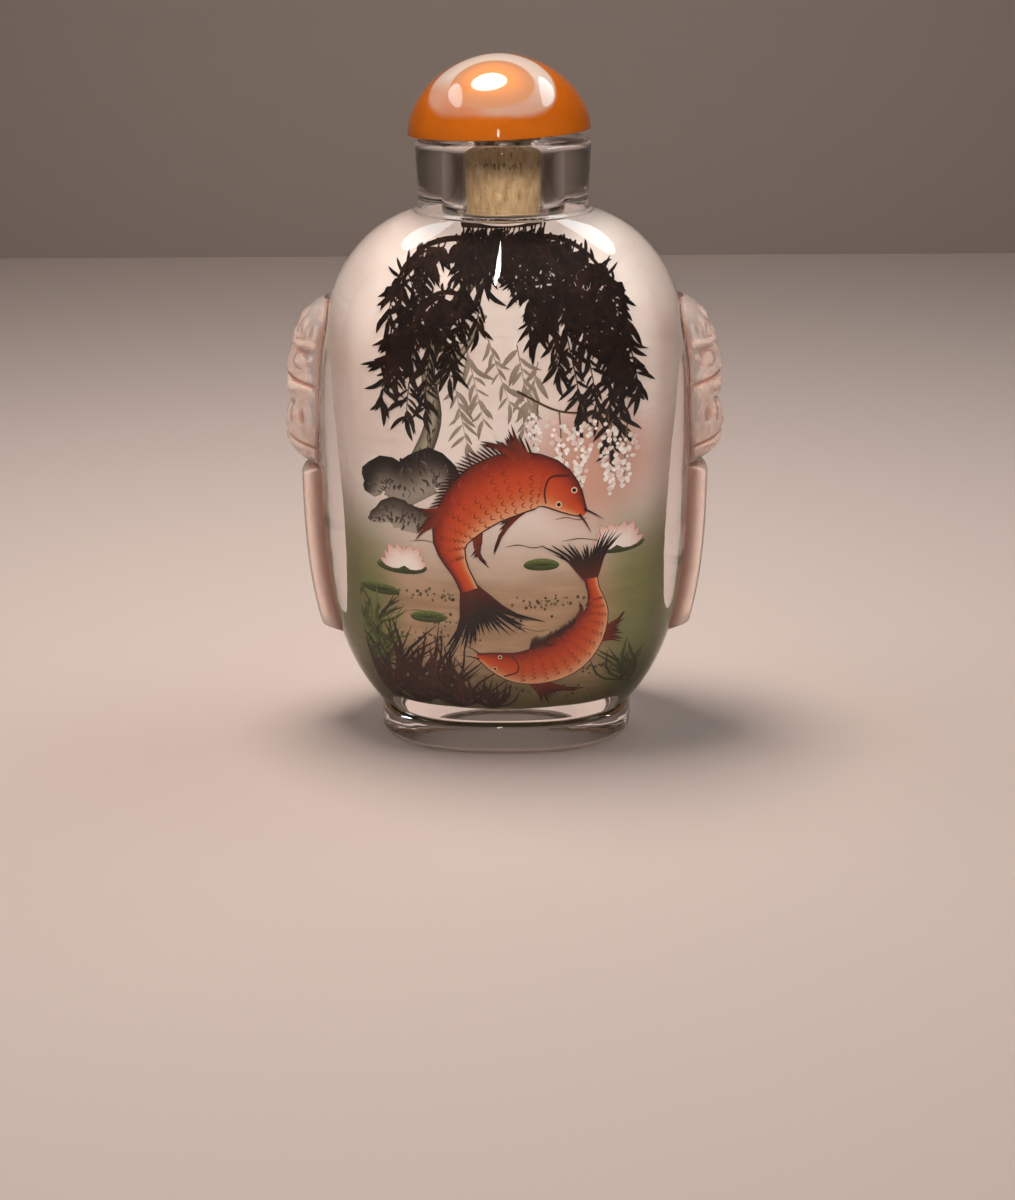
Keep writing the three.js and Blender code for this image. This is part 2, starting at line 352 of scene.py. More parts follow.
# ---------------------------------------------------------------- shader maths
class Socket:
    """One value or colour in a node tree; Python's operators add the Math nodes."""

    def __init__(self, tree, socket):
        self.tree, self.socket = tree, socket

    def _math(self, operation, *values, clamp=False):
        node = self.tree.nodes.new("ShaderNodeMath")
        node.operation, node.use_clamp = operation, clamp
        for slot, value in zip(node.inputs, values):
            plug(self.tree, slot, value)
        return Socket(self.tree, node.outputs[0])

    def __add__(self, other):
        return self._math("ADD", self, other)

    __radd__ = __add__

    def __mul__(self, other):
        return self._math("MULTIPLY", self, other)

    __rmul__ = __mul__

    def __sub__(self, other):
        return self._math("SUBTRACT", self, other)

    def __rsub__(self, other):
        return self._math("SUBTRACT", other, self)

    def __truediv__(self, other):
        return self._math("DIVIDE", self, other)

    def __pow__(self, other):
        return self._math("POWER", self, other)

    def __abs__(self):
        return self._math("ABSOLUTE", self)

    def above(self, start, end):
        """Smooth 0 to 1 as the value goes from start to end."""
        step = self._math("ADD", (self - start) / (end - start), 0, clamp=True)
        return step * step * (3 - 2 * step)


def plug(tree, slot, value):
    if isinstance(value, Socket):
        tree.links.new(value.socket, slot)
    elif isinstance(value, str):
        slot.default_value = colour(value)
    else:
        slot.default_value = value


def colour(code):
    """Display colour "#rrggbb" as the linear values that a shader takes."""
    channels = [int(code[i : i + 2], 16) / 255 for i in (1, 3, 5)]
    return [c / 12.92 if c <= 0.04045 else ((c + 0.055) / 1.055) ** 2.4 for c in channels] + [1.0]


class Finish:
    """A material with one Principled shader, built from node calls."""

    def __init__(self, name):
        self.material = bpy.data.materials.new(name)
        self.material.use_nodes = True
        self.tree = self.material.node_tree
        self.shader = self.tree.nodes["Principled BSDF"]

    def node(self, kind, settings=(), **inputs):
        node = self.tree.nodes.new("ShaderNode" + kind)
        for key, value in dict(settings).items():
            setattr(node, key, value)
        for key, value in inputs.items():
            slot = node.inputs[int(key[1:])] if key[1:].isdigit() else node.inputs[key.replace("_", " ")]
            plug(self.tree, slot, value)
        return node

    def out(self, node, name="0"):
        return Socket(self.tree, node.outputs[int(name)] if name.isdigit() else node.outputs[name])

    def place(self):
        """Object coordinates in millimetres: x, y, z and all three together."""
        where = self.node("TexCoord")
        scaled = self.node("VectorMath", {"operation": "SCALE"}, _0=self.out(where, "Object"), Scale=1 / MM)
        parts = self.node("SeparateXYZ", _0=self.out(scaled))
        return [self.out(parts, axis) for axis in "XYZ"] + [self.out(scaled)]

    def noise(self, where, scale, detail=3.0, rough=0.5):
        texture = self.node("TexNoise", Vector=where, Scale=scale, Detail=detail, Roughness=rough)
        return self.out(texture)

    def point_value(self, name):
        """The attribute node of a value or colour kept on the piece's points."""
        return self.node("Attribute", {"attribute_name": name})

    def blend(self, factor, first, second):
        """Colour from first to second by factor."""
        node = self.tree.nodes.new("ShaderNodeMix")
        node.data_type = "RGBA"
        for slot, value in zip((node.inputs[0], node.inputs[6], node.inputs[7]), (factor, first, second)):
            plug(self.tree, slot, value)
        return Socket(self.tree, node.outputs[2])

    def bump(self, height, strength, distance):
        node = self.node("Bump", Strength=strength, Distance=distance * MM, Height=height)
        plug(self.tree, self.shader.inputs["Normal"], self.out(node))

    def set(self, **inputs):
        for key, value in inputs.items():
            plug(self.tree, self.shader.inputs[key.replace("_", " ")], value)
        return self


GLASS = dict(IOR=1.5, Specular_IOR_Level=0.4)


def clear_glass():
    """Clear polished glass, left a little dull where the neck meets the hollow."""
    look = Finish("clear_glass")
    x, y, z, where = look.place()
    dull = z.above(64.4, 65.0) * (1 - z.above(66.2, 67.4)) * (1 - (x * x + y * y).above(30, 38))
    look.set(Base_Color="#fcf6f2", Roughness=dull * 0.35, Transmission_Weight=1.0, **GLASS)
    look.bump(look.noise(where, 0.32, 1.5, 0.45), 0.5, 0.035)
    return look.material


def carved_glass():
    """The same glass left a little milky by the grinding wheel, with a painted warm shade in its cuts."""
    look = Finish("carved_glass")
    z, where = look.place()[2:]
    hollow = look.out(look.point_value("hollow"), "Fac")
    cloud = look.noise(where, 0.5, 3, 0.6)
    tint = look.blend(cloud.above(0.35, 0.7), "#fdeae0", "#f7dccd")
    # painted shade: the grooves are tinted a darker, warmer colour
    tint = look.blend(hollow * 0.9, tint, "#c9826a")
    rough = 0.2 + hollow * 0.25 + (1 - z.above(30, 34)) * 0.08
    look.set(Base_Color=tint, Roughness=rough, Transmission_Weight=0.8, **GLASS)
    look.bump(look.noise(where, 1.6, 3, 0.55), 0.6, 0.05)
    return look.material


def inner_paint():
    """Washes on the frosted wall: pearl above, a blush at one side, olive ground and green edges below."""
    look = Finish("frosted_inner_wall")
    x, _, z, where = look.place()
    cloud = look.noise(where, 0.07, 3, 0.5) - 0.5
    level = look.node("Mapping", Vector=where, Scale=(0.25, 0.25, 1.4))
    drag = look.noise(look.out(level), 0.55, 4, 0.6) - 0.5
    grain = look.noise(where, 7.0, 2, 0.5) - 0.5
    shade = look.blend((cloud + 0.5).above(0.3, 0.75), "#f0e7e0", "#e0cdc2")
    near_x, near_z = (x - 10.5) / 7.5, (z - 37) / 8.0
    blush = 1 - (near_x * near_x + near_z * near_z + cloud * 1.4).above(0.15, 1.5)
    shade = look.blend(blush * 0.75, shade, "#c98a72")
    ground = 1 - (z + cloud * 9 - abs(x) * 0.12).above(18, 33)
    shade = look.blend(ground * 0.95, shade, look.blend((drag + 0.5).above(0.3, 0.7), "#9c7a58", "#b3916e"))
    fresh = (abs(x + 0.8) + cloud * 5).above(10.5, 15.5) * (1 - z.above(22, 36))
    shade = look.blend(fresh * 0.75, shade, "#66763a")
    depth = 1 - (z + drag * 3 + cloud * 4).above(6.5, 12.5)
    shade = look.blend(depth * 0.85, shade, "#4f4d22")
    veil = (drag * 2 + 0.5).above(0.55, 0.95) * (1 - ground) * 0.14
    shade = look.blend(veil, shade, "#b9a196")
    shade = look.blend(grain.above(0.08, 0.3) * 0.1, shade, "#fffaf5")
    look.set(Base_Color=shade, Roughness=0.65, Specular_IOR_Level=0.15)
    return look.material


def ink_and_colour():
    """Ink and colours laid on with a brush, a little uneven."""
    look = Finish("ink_and_colour")
    where = look.place()[3]
    paint = look.out(look.point_value("paint"), "Color")
    worn = look.blend(look.noise(where, 1.3, 4, 0.6).above(0.5, 0.8) * 0.08, paint, "#8d7462")
    look.set(Base_Color=worn, Roughness=0.6, Specular_IOR_Level=0.08)
    return look.material


def agate():
    """Orange agate with one pale band between two nested ovals, off centre on the dome."""
    look = Finish("banded_agate")
    x, y, z, where = look.place()
    wave = look.noise(where, 0.22, 3, 0.5) - 0.5
    fine = look.noise(where, 0.9, 4, 0.6) - 0.5

    def oval(centre, reach, turn):
        """Share of the way from an oval's centre to its edge."""
        cos, sin = math.cos(turn), math.sin(turn)
        dx, dy = x - centre[0], y - centre[1]
        a, b = (dx * cos + dy * sin) / reach[0], (dy * cos - dx * sin) / reach[1]
        return (a * a + b * b) ** 0.5 + wave * 0.07 + fine * 0.02

    outer, inner = oval((-1.3, -5.3), (7.5, 5.1), -0.16), oval((-1.25, -6.7), (5.0, 3.25), -0.1)
    # painted sheen: the stone is a little lighter low on the dome than towards its crown
    rise = (z - TOP_LOW.z).above(0.3, 3.2)
    body = look.blend(rise, "#8e4709", "#843f07")
    body = look.blend((wave * 2 + 0.5).above(0.35, 0.8) * 0.4, body, "#934c10")
    band = look.blend((y + 9.5 + wave * 2).above(0, 4.5), "#896858", "#95857a")
    # painted glow: the heart is lighter at its middle, under the lamp's highlight, and darker towards the
    # pale band
    heart = look.blend(inner.above(0.35, 0.95), "#aa6b41", "#8a6045")
    stain = 1 - oval((-4.9, -7.4), (1.1, 0.9), 0.5).above(0.55, 1.15)
    heart = look.blend(stain * (fine * 3 + 0.5).above(0.2, 0.6) * 0.6, heart, "#9c5c2a")
    # painted shade: the pale band is dimmed over its front left side
    shaded_band = (1 - outer.above(0.955, 1.03)) * (1 - (1 - (x + y * 0.8 + 10.5).above(-1.5, 1.5)) * 0.55)
    tint = look.blend(shaded_band, body, band)
    tint = look.blend(1 - inner.above(0.95, 1.03), tint, heart)
    look.set(Base_Color=tint, Roughness=0.07, IOR=1.54, Subsurface_Weight=0.12, Subsurface_Scale=0.002,
             Subsurface_Radius=(1.0, 0.42, 0.16))
    return look.material


def cork_bark():
    """Tan cork with dark pores drawn out along the plug."""
    look = Finish("cork_bark")
    z, where = look.place()[2:]
    tall = look.node("Mapping", Vector=where, Scale=(1.0, 1.0, 0.28))
    streaks = look.noise(look.out(tall), 1.6, 4, 0.65)
    specks = look.noise(look.out(tall), 4.2, 3, 0.6)
    row = 1 - abs(z - 72.4 - (streaks - 0.5) * 1.2).above(0.1, 0.7)
    pores = specks.above(0.63 - row * 0.12, 0.7 - row * 0.1)
    base = look.blend(streaks.above(0.3, 0.7), "#cbb58e", "#a68a60")
    base = look.blend(pores * 0.85, base, "#3d2b1a")
    look.set(Base_Color=base, Roughness=0.85)
    look.bump(1 - pores, 0.5, 0.15)
    return look.material


# ---------------------------------------------------------------- painting on the inner wall
def paint_blade(columns, rows):
    """A thin closed sheet 1 long, 2 wide and 1 thick, which every stroke draws out to its own shape."""
    bpy.ops.mesh.primitive_grid_add(x_subdivisions=columns, y_subdivisions=rows, size=2)
    blade = bpy.context.object
    edit_all()
    bpy.ops.transform.resize(value=(0.5, 1, 1))
    bpy.ops.transform.translate(value=(0.5, 0, 0))
    bpy.ops.object.mode_set(mode="OBJECT")
    body = blade.modifiers.new("body", "SOLIDIFY")
    body.thickness, body.offset = 1, 1
    bpy.ops.object.modifier_apply(modifier=body.name)
    places = vertex_places(blade.data)
    faces = np.array([list(face.vertices) for face in blade.data.polygons])
    bpy.data.objects.remove(blade)
    return places, faces


def spline(points):
    """A smooth curve through points, as a function of the share u of its run."""
    points = np.array(points, dtype=float)
    knots = np.vstack([2 * points[0] - points[1], points, 2 * points[-1] - points[-2]])

    def at(u):
        run = u * (len(points) - 1)
        i = np.clip(np.floor(run).astype(int), 0, len(points) - 2)
        f = (run - i)[:, None]
        a, b, c, d = (knots[i + k] for k in range(4))
        square, cube = 2 * a - 5 * b + 4 * c - d, 3 * b - a - 3 * c + d
        return 0.5 * (2 * b + (c - a) * f + square * f**2 + cube * f**3)

    return at


def follow(curve, u):
    """Place on a curve at share u of its run, and the step along it there."""
    here, before, after = (curve(np.array([share]))[0] for share in (u, u - 0.01, u + 0.01))
    return here, after - before


def toward(angle):
    """A step of length 1; its angle is measured from straight down, to the right."""
    return np.array([math.sin(angle), -math.cos(angle)])


def angle_of(step):
    return math.atan2(step[0], -step[1])


def beside(step):
    return np.array([step[1], -step[0]])


def hanging(x, z, sway, drop, slack=0.5):
    return [(x, z), (x + slack * sway, z - 0.5 * drop), (x + sway, z - drop)]


def leaf_reach(half):
    """Half-width of a pointed leaf that is widest before its middle."""
    return lambda u: half * (2.05 * np.clip(u, 0, 1) ** 0.55 * (1 - np.clip(u, 0, 1)) ** 0.8) + 0.012


def line_reach(start, end):
    return lambda u: mix(start, end, u)


def shaped_reach(*halves):
    stops = np.linspace(0, 1, len(halves))
    return lambda u: np.interp(u, stops, halves)


def shades(*codes):
    """Colours in even steps as a function of a share from 0 to 1."""
    table = np.array([colour(code)[:3] for code in codes])
    stops = np.linspace(0, 1, len(codes))
    return lambda u: np.stack([np.interp(u, stops, table[:, k]) for k in range(3)], axis=1)


def along(*codes):
    table = shades(*codes)
    return lambda u, v: table(u)


def across(*codes):
    table = shades(*codes)
    return lambda u, v: table((v + 1) / 2)


LEAF, DOT, LINE, WASH = (5, 1), (5, 2), (18, 1), (22, 8)  # columns and rows of the blades
INK = ("#1b120e", "#2b1a13", "#140d0b")
BARK, TWIG = ("#2b1b13", "#4a3526", "#2b1b13"), ("#2a1a12", "#3a261a")
HATCHING = ("#221a16", "#3b312a", "#6f6458", "#17110e")
BLOSSOM = ("#f2ece6", "#e9e2da", "#fbf6f2", "#e6cfc8")
SILT = ("#4c4430", "#5d5238", "#6b5f47", "#3a2c1e")
# Half-widths along a dot of paint, from its first end to its last.
PEBBLE, PETAL, EYE = (0.25, 0.8, 0.9, 0.7, 0.2), (0.3, 0.85, 1, 0.8, 0.25), (0.3, 0.9, 1, 0.9, 0.3)
# A carp from its lips to its tail: half-widths, colours from back to belly, colours of its scales.
CARP_HALVES = (0.1, 0.5, 0.76, 0.95, 1.08, 1.15, 1.13, 1.02, 0.84, 0.62, 0.42, 0.28, 0.3)
CARP_SIDES = ("#5f160b", "#9c2c10", "#bd4015", "#c64c1d", "#cd6a38", "#dca47c")
CARP_SCALES = ("#7c2410", "#93300f", "#a03a18")
# Rounds of petals of a lotus: length, half-width and angles from straight up.
PETALS = [
    (1.0, 0.24, (-1.35, -0.95, 0.95, 1.35)), (1.15, 0.26, (-0.6, 0.6)), (1.05, 0.27, (-0.28, 0.28)),
    (0.9, 0.27, (0.0,)),
]


def make_blades():
    return {shape: paint_blade(*shape) for shape in (LEAF, DOT, LINE, WASH)}


class PaintedFace:
    """Brush strokes and motifs on one face of the inner wall, gathered into one thin layer of paint.

    They are drawn in the plane of the wall: mm to the viewer's right and mm above the foot.
    """

    FIRST_DEPTH, LAYER, THICKNESS = 0.075, 0.016, 0.005

    def __init__(self, blades, seed):
        self.blades, self.dice = blades, random.Random(seed)
        self.places, self.faces, self.tints, self.count = [], [], [], 0

    def vary(self, low, high):
        return self.dice.uniform(low, high)

    def stray(self, amount):
        return self.vary(-amount, amount)

    def draw(self, shape, points, reach, tint, layer):
        """One stroke along points, of half-width reach(u) and colour tint(u, v)."""
        blade, faces = self.blades[shape]
        u, v, w = blade.T
        curve = spline(points)
        centre, step = curve(u), curve(u + 0.004) - curve(u - 0.004)
        step = step / np.maximum(np.linalg.norm(step, axis=1, keepdims=True), 1e-9)
        side = np.stack([-step[:, 1], step[:, 0]], axis=1)
        flat = centre + side * (reach(u) * v)[:, None]
        z = np.clip(flat[:, 1], CAVITY.floor + 0.15, CAVITY.ceiling - 0.25)
        depth = self.FIRST_DEPTH + self.LAYER * (layer + self.vary(0, 0.6)) + self.THICKNESS * w
        width, thick, power = cavity_size(z, depth)
        limit = 0.985 * width
        x = np.clip(flat[:, 0], -limit, limit)
        y = -thick * (1 - (np.abs(x) / width) ** power) ** (1 / power)
        self.places.append(np.stack([x, y, z], axis=1))
        self.faces.append(faces + self.count)
        self.tints.append(tint(u, v))
        self.count += len(u)

    def finish(self, name, paint, back=False):
        """Makes the piece from the strokes so far; back turns it round to the other face."""
        places = np.vstack(self.places) * MM
        if back:
            places[:, :2] *= -1
        mesh = bpy.data.meshes.new(name)
        mesh.from_pydata(places.tolist(), [], np.vstack(self.faces).tolist())
        tints = np.vstack(self.tints)
        kept = mesh.attributes.new("paint", "FLOAT_COLOR", "POINT")
        kept.data.foreach_set("color", np.hstack([tints, np.ones((len(tints), 1))]).ravel())
        coat = bpy.data.objects.new(name, mesh)
        bpy.context.scene.collection.objects.link(coat)
        finish_piece(coat, paint, "painting")

    # ---- marks
    def leaf(self, root, angle, length, half, layer, tint=None, bow=0.12):
        run = toward(angle)
        side = beside(run) * self.stray(bow) * length
        root = np.array(root)
        tint = tint or along(self.dice.choice(INK), self.dice.choice(INK))
        way = [root, root + run * length * 0.5 + side, root + run * length]
        self.draw(LEAF, way, leaf_reach(half), tint, layer)

    def dot(self, place, half, shape, code, layer, lean=0.0):
        """One short dab of paint from top to bottom."""
        x, z = place
        way = [(x - lean * half, z + half), (x, z), (x + lean * half, z - half)]
        self.draw(DOT, way, shaped_reach(*(s * half for s in shape)), along(code), layer)

    def branch(self, points, start, end, layer, tint=BARK):
        self.draw(LINE, points, line_reach(start, end), across(*tint), layer)

    def ripple(self, x, z, reach, layer):
        way = [(x - reach, z), (x - 0.3 * reach, z + 0.25), (x + 0.4 * reach, z - 0.12), (x + reach, z + 0.1)]
        self.draw(LINE, way, shaped_reach(0.02, 0.09, 0.06, 0.09, 0.02), along("#7d6b50"), layer)

    # ---- motifs
    def twig(self, points, half, count, leaf_length, layer, stem=TWIG, leaf_tint=None, fill=1.0):
        """A hanging twig with narrow leaves on both its sides; fill is the share of them that is kept."""
        curve = spline(points)
        self.draw(LINE, points, line_reach(half, half * 0.4), along(*stem), layer)
        for k in range(count):
            u = (k + self.vary(0, 0.8)) / count * 0.94 + 0.06
            if self.dice.random() > fill:
                continue
            at, step = follow(curve, u)
            turn = (1 if k % 2 else -1) * self.vary(0.25, 0.95)
            length = leaf_length * self.vary(0.65, 1.2) * (1 - 0.25 * u)
            wide = 0.105 * length * self.vary(0.8, 1.25)
            self.leaf(at, angle_of(step) * 0.5 + turn, length, wide, layer + 1, leaf_tint)
        tip = follow(curve, 0.99)[0]
        self.leaf(tip, self.stray(0.3), leaf_length * 0.9, 0.1 * leaf_length, layer + 1, leaf_tint)

    def specks(self, x, z, wide, tall, count, size, codes=SILT):
        """Dabs strewn round a place on the water."""
        for _ in range(count):
            place = self.dice.gauss(x, wide), self.dice.gauss(z, tall)
            half = size * self.vary(0.6, 1.25)
            code = self.dice.choice(codes)
            self.dot(place, half, PEBBLE, code, 2, self.stray(0.3))

    def raceme(self, x, z, drop, layer):
        """A hanging cluster of small white flowers."""
        sway = self.stray(0.8)
        self.branch([(x, z + 1.5), (x + 0.2 * sway, z), (x + sway, z - drop)], 0.1, 0.05, layer, ("#6b5a3c",))
        count = int(drop * 7)
        for k in range(count):
            u = (k + self.dice.random()) / count
            reach = 1.35 * (1 - u) ** 0.7 + 0.15
            place = x + sway * u + self.stray(reach), z - drop * u + self.stray(0.25)
            code = self.dice.choice(BLOSSOM)
            half = self.vary(0.2, 0.34)
            self.dot(place, half, PETAL, code, layer + 2, self.stray(0.4))

    def fin(self, root, heading, spread, length, count, layer, *codes):
        """A soft fan of rays from a root line."""
        for k in range(count):
            share = k / (count - 1)
            run = toward(heading + spread * (share - 0.5) + self.stray(0.05))
            start = mix(root[0], root[1], share)
            reach = length * self.vary(0.8, 1.08) * (0.75 + 0.4 * abs(2 * share - 1))
            side = beside(run) * (share - 0.5) * length * 0.25
            self.draw(LEAF, [start, start + run * reach * 0.55 + side, start + run * reach],
                      leaf_reach(length * 0.9 / count), along(*codes), layer + self.vary(0, 1))

    def carp(self, spine, size, layer, back=-1):
        """A carp along its spine, head first; back is the side that its back fin stands on."""
        curve, body = spline(spine), shaped_reach(*(s * size for s in CARP_HALVES))
        sides = CARP_SIDES[::-back]
        self.draw(WASH, spine, lambda u: body(u) + 0.05 * size, along("#2a140e", "#3a1c12"), layer + 2)
        self.draw(WASH, spine, body, across(*sides), layer + 3)

        def on(u, v):
            """The point at share u along the body and v across it."""
            at, step = follow(curve, u)
            step = step / np.linalg.norm(step)
            return at - beside(step) * float(body(u)) * v

        def heading(u):
            return angle_of(follow(curve, u)[1])

        for row in range(13):  # scales
            for k in range(7):
                u, v = 0.25 + 0.05 * row, -0.78 + 0.26 * k + 0.13 * (row % 2)
                way = [on(u - 0.01, v - 0.11), on(u + 0.013, v), on(u - 0.01, v + 0.11)]
                tint = along(self.dice.choice(CARP_SCALES))
                self.draw(LEAF, way, leaf_reach(0.026 * size), tint, layer + 4)
        gill = [on(0.17, -0.85), on(0.225, -0.3), on(0.225, 0.3), on(0.17, 0.85)]
        self.draw(LINE, gill, line_reach(0.045 * size, 0.03 * size), along("#4a140b"), layer + 4)
        tail = [on(0.97, -0.9), on(0.97, 0.9)]
        self.fin(tail, heading(0.97), 1.3, 2.7 * size, 34, layer, "#5a1a0d", "#1d100c", "#120b09")
        for k in range(34):  # back fin, ray by ray along the spine
            share = k / 33
            u = mix(0.3, 0.68, share)
            start, angle = on(u, 0.85 * back), heading(u) + back * mix(1.2, 0.5, share)
            run = toward(angle) * size * mix(0.95, 0.55, share) * self.vary(0.85, 1.1)
            self.draw(LEAF, [start, start + run * 0.5, start + run], leaf_reach(0.045 * size),
                      along("#4a160c", "#140c0a"), layer + self.vary(0, 1))
        for u, length in ((0.27, 1.7), (0.62, 1.15)):  # paired fins on the belly side and the back side
            root, angle = [on(u, -0.85 * back), on(u + 0.08, -0.95 * back)], heading(u) - back * 0.75
            self.fin(root, angle, 0.8, length * size, 18, layer, "#7a2611", "#1c100c")
            root, angle = [on(u + 0.02, 0.75 * back), on(u + 0.09, 0.8 * back)], heading(u) + back * 0.55
            self.fin(root, angle, 0.6, 0.8 * length * size, 16, layer + 4, "#8a2c13", "#2a150e")
        for v in (-0.62, 0.62):
            eye = on(0.115, v)
            self.dot(eye, 0.115 * size, EYE, "#e3cfae", layer + 5)
            self.dot(eye, 0.075 * size, EYE, "#100a08", layer + 6)
            lip = on(0.02, v)
            away = lip - follow(curve, 0.08)[0]
            whisker = [lip, lip + away * 0.9 + (0.1 * v, 0.1), lip + away * 1.7]
            self.branch(whisker, 0.05 * size, 0.02, layer + 3, ("#3a1c12",))

    def lotus(self, centre, size, layer):
        """A half-open flower of pointed petals with blush tips."""
        centre = np.array(centre)
        for length, half, angles in PETALS:
            for angle in angles:
                run = np.array([math.sin(angle), math.cos(angle)])
                middle = centre + run * size * 0.5 * length + (0.1 * size * math.sin(angle), -0.06 * size)
                way = [centre, middle, centre + run * size * length]
                self.draw(DOT, way, leaf_reach(size * (half + 0.035)), along("#7b5a4c", "#9c5f52"), layer)
                tint = along("#f6efe6", "#f4e6dd", "#dba294")
                self.draw(DOT, way, leaf_reach(size * half), tint, layer + 1)

    def pad(self, x, z, reach, layer):
        """A round leaf on the water, seen from the side, with its veins."""

        def oval(u):
            return 0.36 * reach * np.sqrt(np.clip(1 - (2 * u - 1) ** 2, 0.002, 1))

        way = [(x - reach, z), (x, z + 0.05 * reach), (x + reach, z)]
        self.draw(WASH, way, oval, across("#2c3318", "#4b5a2c", "#6d7a3d"), layer)
        for angle in (-1.2, -0.7, -0.25, 0.25, 0.7, 1.2):
            tip = (x + reach * 0.9 * math.sin(angle * 1.2), z + 0.3 * reach * math.cos(angle * 1.2))
            vein = [(x, z), ((x + tip[0]) / 2, (z + tip[1]) / 2), tip]
            self.draw(LEAF, vein, line_reach(0.07, 0.03), along("#262b14"), layer + 1)

    def tuft(self, x, z, count, length, spread, layer, codes=INK, half=0.2):
        """Pointed blades of grass that fan out upwards from one root."""
        for _ in range(count):
            angle = math.pi + self.stray(spread)
            reach = length * self.vary(0.55, 1.1)
            start = x + self.stray(0.6), z + self.stray(0.3)
            code = self.dice.choice(codes)
            wide = half * self.vary(0.7, 1.3)
            self.leaf(start, angle, reach, wide, layer, along(code, self.dice.choice(codes)), 0.22)

    def rock(self, outline, thickness, codes, layer):
        """A weathered stone: one broad ragged stroke with hatching under its crest."""
        rough = np.interp(np.linspace(0, 1, 34), np.linspace(0, 1, len(thickness)), thickness)
        rough = [t * self.vary(0.84, 1.14) for t in rough]
        curve, reach = spline(outline), shaped_reach(*rough)
        self.draw(WASH, outline, reach, across(*codes), layer)
        for _ in range(60):
            u = self.vary(0.03, 0.97)
            at, step = follow(curve, u)
            step = step / np.linalg.norm(step)
            down, half = beside(step), float(reach(u))
            start = at + down * half * self.vary(-0.7, 0.55)
            length = half * self.vary(0.2, 0.55)
            code = self.dice.choice(HATCHING)
            way = [start, start + (down * 0.5 + step * self.stray(0.35)) * length, start + down * length]
            self.draw(LEAF, way, leaf_reach(self.vary(0.07, 0.2)), along(code, "#5a5048"), layer + 1)


# ---------------------------------------------------------------- layout of the painting
BOUGHS = [  # way of each bough, its ink washes, its twigs and how far they hang
    ([(-4.4, 64.4), (0, 64.75), (4.6, 64.4)], 0, 26, (1.6, 3.2)),
    ([(-1, 62.8), (-5, 63.3), (-9.5, 61.7), (-13.2, 57.4)], 5, 15, (2.2, 3.8)),
    ([(-1, 62.8), (4, 63.5), (8.6, 62.0), (12.8, 58.2)], 10, 20, (2.4, 4.4)),
    ([(-4, 57.6), (-7.6, 57.8), (-11.0, 55.0), (-13.4, 50.8)], 2, 11, (3.0, 4.8)),
    ([(2, 58.6), (6, 59.0), (10.4, 56.4), (14.2, 51.4)], 6, 15, (3.0, 5.4)),
]
CURTAIN_TWIGS = [  # root, sway and drop of the long twigs on both sides
    (10.5, 59.5, 3.2, 14), (8.5, 60, 2.4, 16.5), (6.5, 60, 2.6, 17), (14, 55.5, 1.6, 10),
    (4.8, 60, 1.6, 11.5), (11.5, 58.5, 1.2, 19.5), (9.2, 59, 4.4, 12), (2.5, 61, 1.2, 8.5),
    (13.2, 56.6, 0.4, 15), (-2.2, 61, -1.0, 7), (-4.6, 60, -1.6, 10.5), (-8.2, 58.4, -1.2, 14.5),
    (-10, 57, -1.6, 14), (-13, 53.6, -1.4, 9), (-7.2, 58.6, 0.8, 10.5), (-9.4, 57.6, -3.4, 10),
]
PALE_TWIGS = [(-4.5, 52, 2.0, 9), (-2, 53, 2.6, 8), (1.5, 52, 1.6, 8.5), (4, 50, -1.6, 8), (-6, 48, 1.5, 8)]
TRUNK = [(-10.5, 37), (-8.4, 43), (-8.8, 50), (-5.2, 57), (-2, 62)]
TRUNK_TINTS = ("#2b231d", "#6f6656", "#a89d88", "#8f8470", "#4c4338")
UNDER_CEILING, NEAR_CEILING = 64.2, 61.8  # no loose leaf above the first, and short ones above the second

# Tops and drops of the racemes, then centres and reaches of the pads, specks and ripples.
RACEMES = [(4.0, 43.6, 5.2), (6.5, 42.5, 7.0), (9.3, 42.9, 9.0), (12.2, 41.9, 8.4), (14.4, 40.4, 6.4)]
PADS = [(13.6, 26.4, 2.8), (-12.4, 24.0, 2.9), (-14.8, 20.6, 2.0), (-9.4, 17.6, 2.2), (4.4, 24.6, 2.2)]
SPECKS = [
    (-9, 20.6, 3.0, 0.45), (-4, 17.4, 4.2, 0.5), (3, 7.6, 5.0, 0.5), (11, 10.6, 2.4, 0.4),
    (5, 19.6, 2.0, 0.4), (-8, 14.8, 3.6, 0.45),
]
RIPPLES = [
    (-9, 27.4, 2.6), (10, 27.6, 3.2), (2.4, 27.0, 2.4), (-9.6, 18.2, 2.6), (4.4, 8.8, 3.0), (3, 16, 2.4),
    (8, 30.4, 2.0),
]
# Crest line, thickness along it, colours from the top down and layer of each stone.
STONES = [
    ([(-15.9, 32.8), (-14.4, 35.4), (-11.8, 35.0), (-8.4, 36.6), (-5.4, 34.4)], (0.5, 2.6, 3.0, 2.6, 0.8),
     ("#8a7f72", "#a0968a", "#7b7064", "#4a4038", "#1d1613", "#120d0b"), 2),
    ([(-16.0, 29.4), (-13.6, 30.9), (-10.6, 30.2), (-7.4, 30.8)], (0.3, 1.8, 1.7, 0.5),
     ("#a89d8f", "#958a7c", "#5d5249", "#2c231d"), 4),
]
# Root, count of blades and length of each tuft of grass.
GRASS = [(-13, 6.5, 44, 10.5), (-9.5, 5.4, 52, 9), (-5.5, 4.8, 44, 7.2), (-1.5, 4.6, 30, 4.8)]
GRASS_TINTS = ("#2a120c", "#3b1a10", "#160d0a", "#4a2416")
GREEN_TINTS = ("#3a4420", "#55602e", "#6d763c", "#2c3318")


